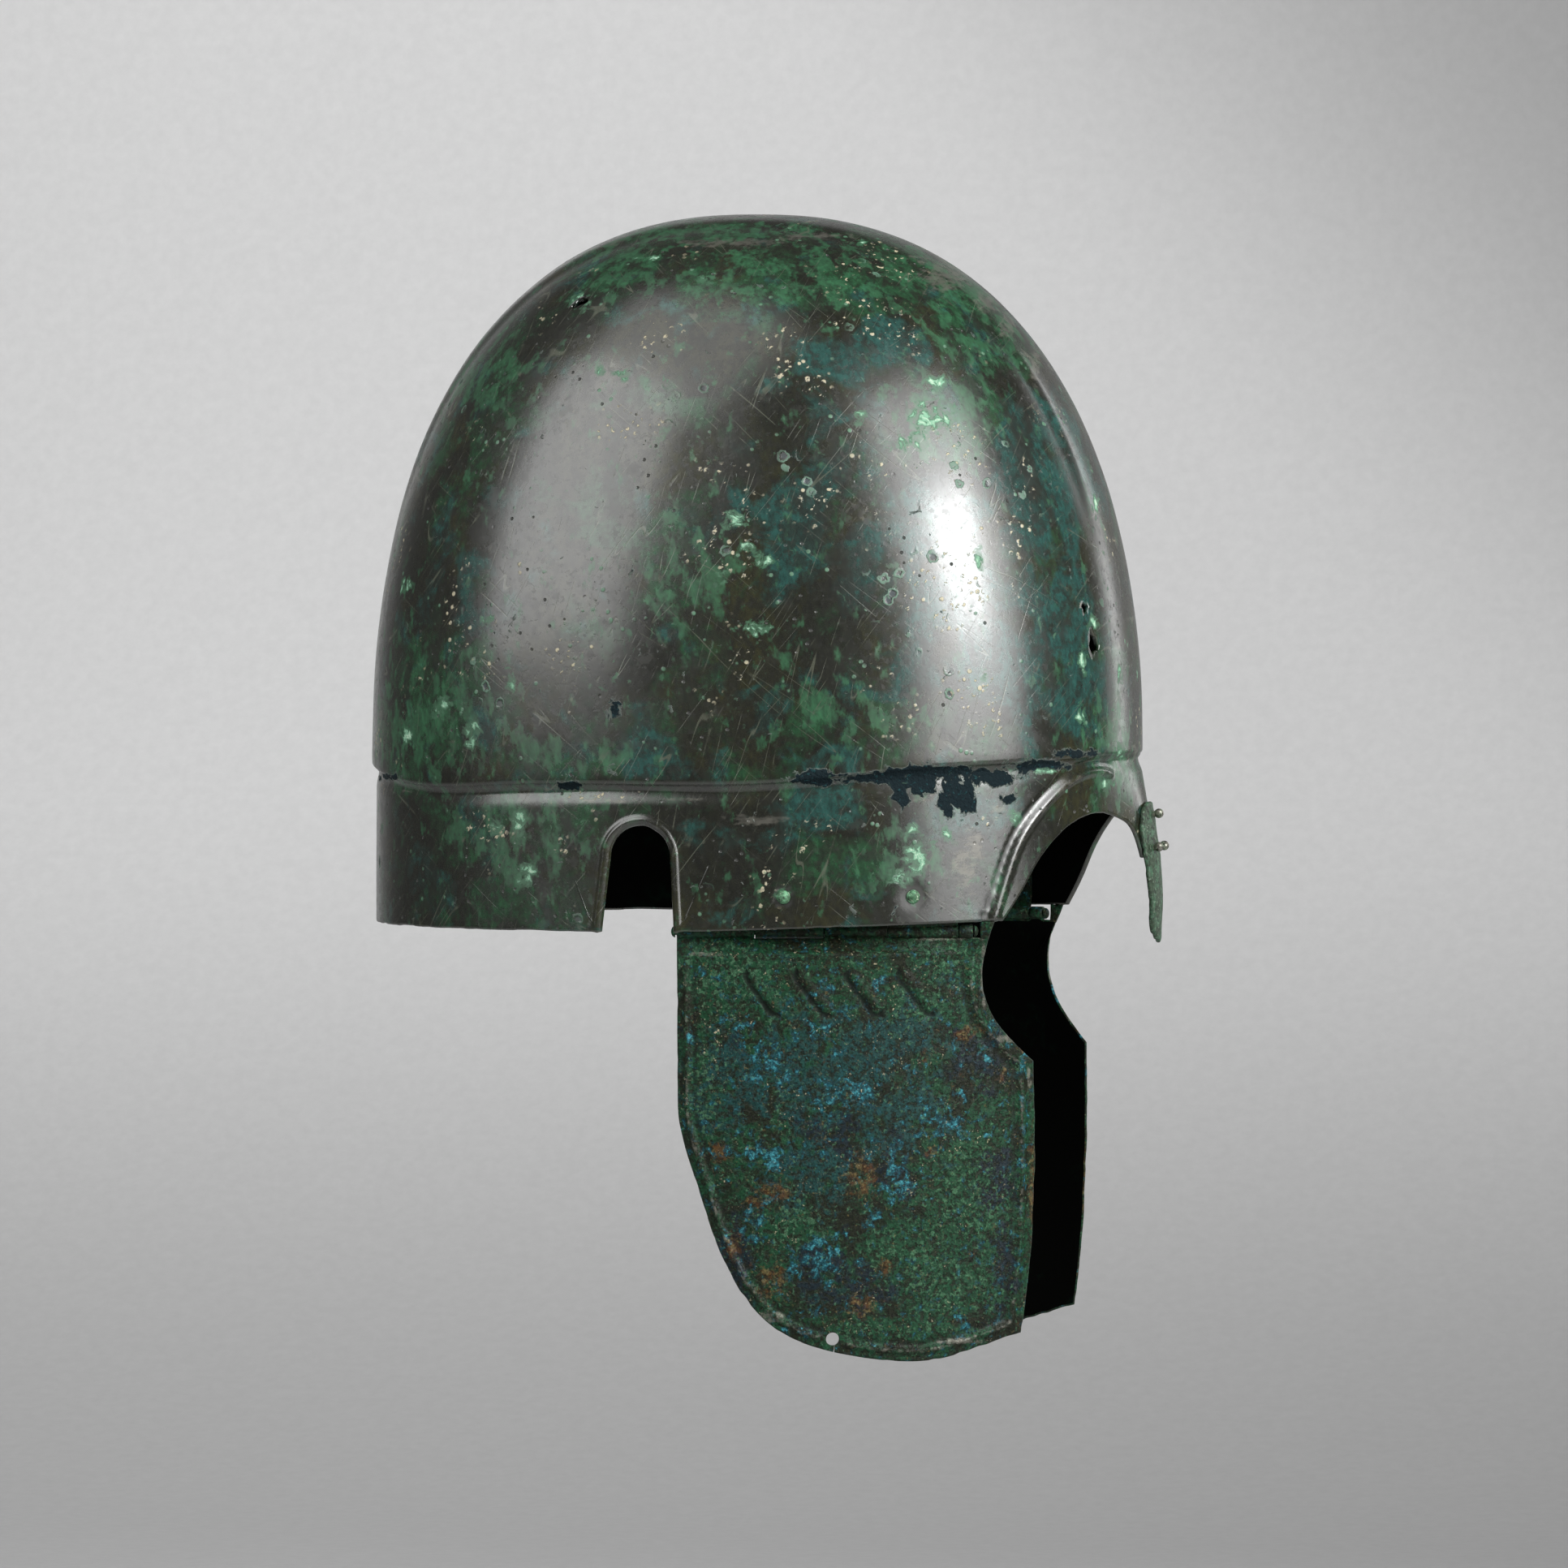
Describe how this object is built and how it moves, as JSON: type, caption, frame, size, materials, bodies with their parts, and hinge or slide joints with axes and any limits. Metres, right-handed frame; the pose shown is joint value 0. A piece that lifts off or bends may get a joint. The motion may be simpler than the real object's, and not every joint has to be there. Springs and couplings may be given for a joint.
{
  "type": "chalcidian helmet",
  "caption": "Ancient bronze Chalcidian helmet: domed bowl with ear notches, arched brows and riveted nasal guard, with hinged cheek-pieces that swing outward.",
  "frame": {"origin": "middle of the head opening at the height of the rim", "axes": "+X to the face, +Y to the wearer's left, +Z to the crown"},
  "size_m": [0.2404, 0.19, 0.3383],
  "materials": {
    "bowl_bronze": "smooth dark green and brown patina on hammered bronze, semi-gloss",
    "nasal_bronze": "grey-green patina, dull",
    "rivet_bronze": "pale green corroded bronze",
    "hinge_bronze": "dark crusted bronze",
    "cheek_bronze": "rough green and blue corrosion crust with worn edges"
  },
  "bodies": {
    "helmet": {"skull_bowl": "bowl_bronze", "nasal_guard": "nasal_bronze", "nasal_rivet_upper": "rivet_bronze", "nasal_rivet_lower_right": "rivet_bronze", "nasal_rivet_lower_left": "rivet_bronze", "hinge_leaf_right": "hinge_bronze", "hinge_leaf_left": "hinge_bronze", "hinge_pin_right": "hinge_bronze", "hinge_pin_left": "hinge_bronze", "hinge_rivet_rear_right": "rivet_bronze", "hinge_rivet_front_right": "rivet_bronze", "hinge_rivet_rear_left": "rivet_bronze", "hinge_rivet_front_left": "rivet_bronze"},
    "cheek_right": {"cheek_piece_right": "cheek_bronze"},
    "cheek_left": {"cheek_piece_left": "cheek_bronze"}
  },
  "joints": [
    {"name": "cheek_hinge_right", "type": "hinge", "parent": "helmet", "child": "cheek_right", "pos_m": [-0.0096, -0.08952, 0.0002], "axis": [-0.9766, -0.2151, 0], "range_deg": [-20, 40]},
    {"name": "cheek_hinge_left", "type": "hinge", "parent": "helmet", "child": "cheek_left", "pos_m": [-0.0096, 0.08952, 0.0002], "axis": [0.9766, -0.2151, 0], "range_deg": [-20, 40]}
  ]
}
